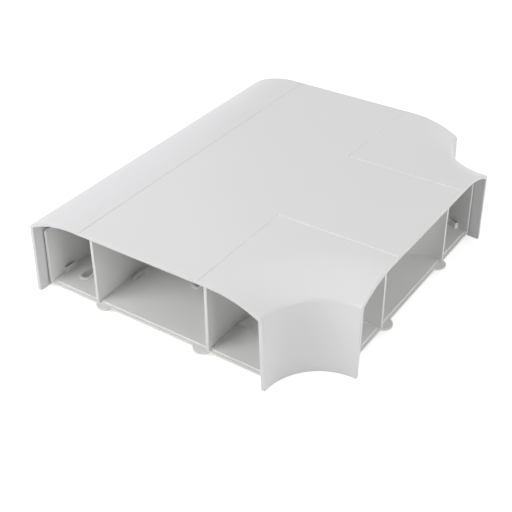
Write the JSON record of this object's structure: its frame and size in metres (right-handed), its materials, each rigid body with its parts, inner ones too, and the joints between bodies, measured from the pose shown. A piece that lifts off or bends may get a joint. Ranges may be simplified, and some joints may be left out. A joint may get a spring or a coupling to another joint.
{
  "type": "trunking tee fitting",
  "caption": "Flat tee fitting for three-compartment wall trunking: a lift-off moulded cover with rounded shoulders over a base tray with upright dividers.",
  "frame": {"origin": "where the centre lines of the run and the branch cross, on the wall side of the fitting", "axes": "+X out of the branch port (port 2), +Y along the run towards port 3, +Z away from the wall"},
  "size_m": [0.2125, 0.25, 0.0595],
  "materials": {
    "cover_plastic": "smooth satin moulded light grey rigid plastic",
    "base_plastic": "satin moulded light grey rigid plastic",
    "divider_plastic": "satin moulded light grey rigid plastic"
  },
  "bodies": {
    "base": {"base_tray": "base_plastic", "back_divider": "divider_plastic", "outer_bend_divider": "divider_plastic", "inner_bend_divider": "divider_plastic", "far_bend_divider": "divider_plastic"},
    "cover": {"cover": "cover_plastic"}
  },
  "joints": [
    {"name": "cover_lift", "type": "slide", "parent": "base", "child": "cover", "axis": [0, 0, 1], "range_m": [0, 0.07]}
  ]
}
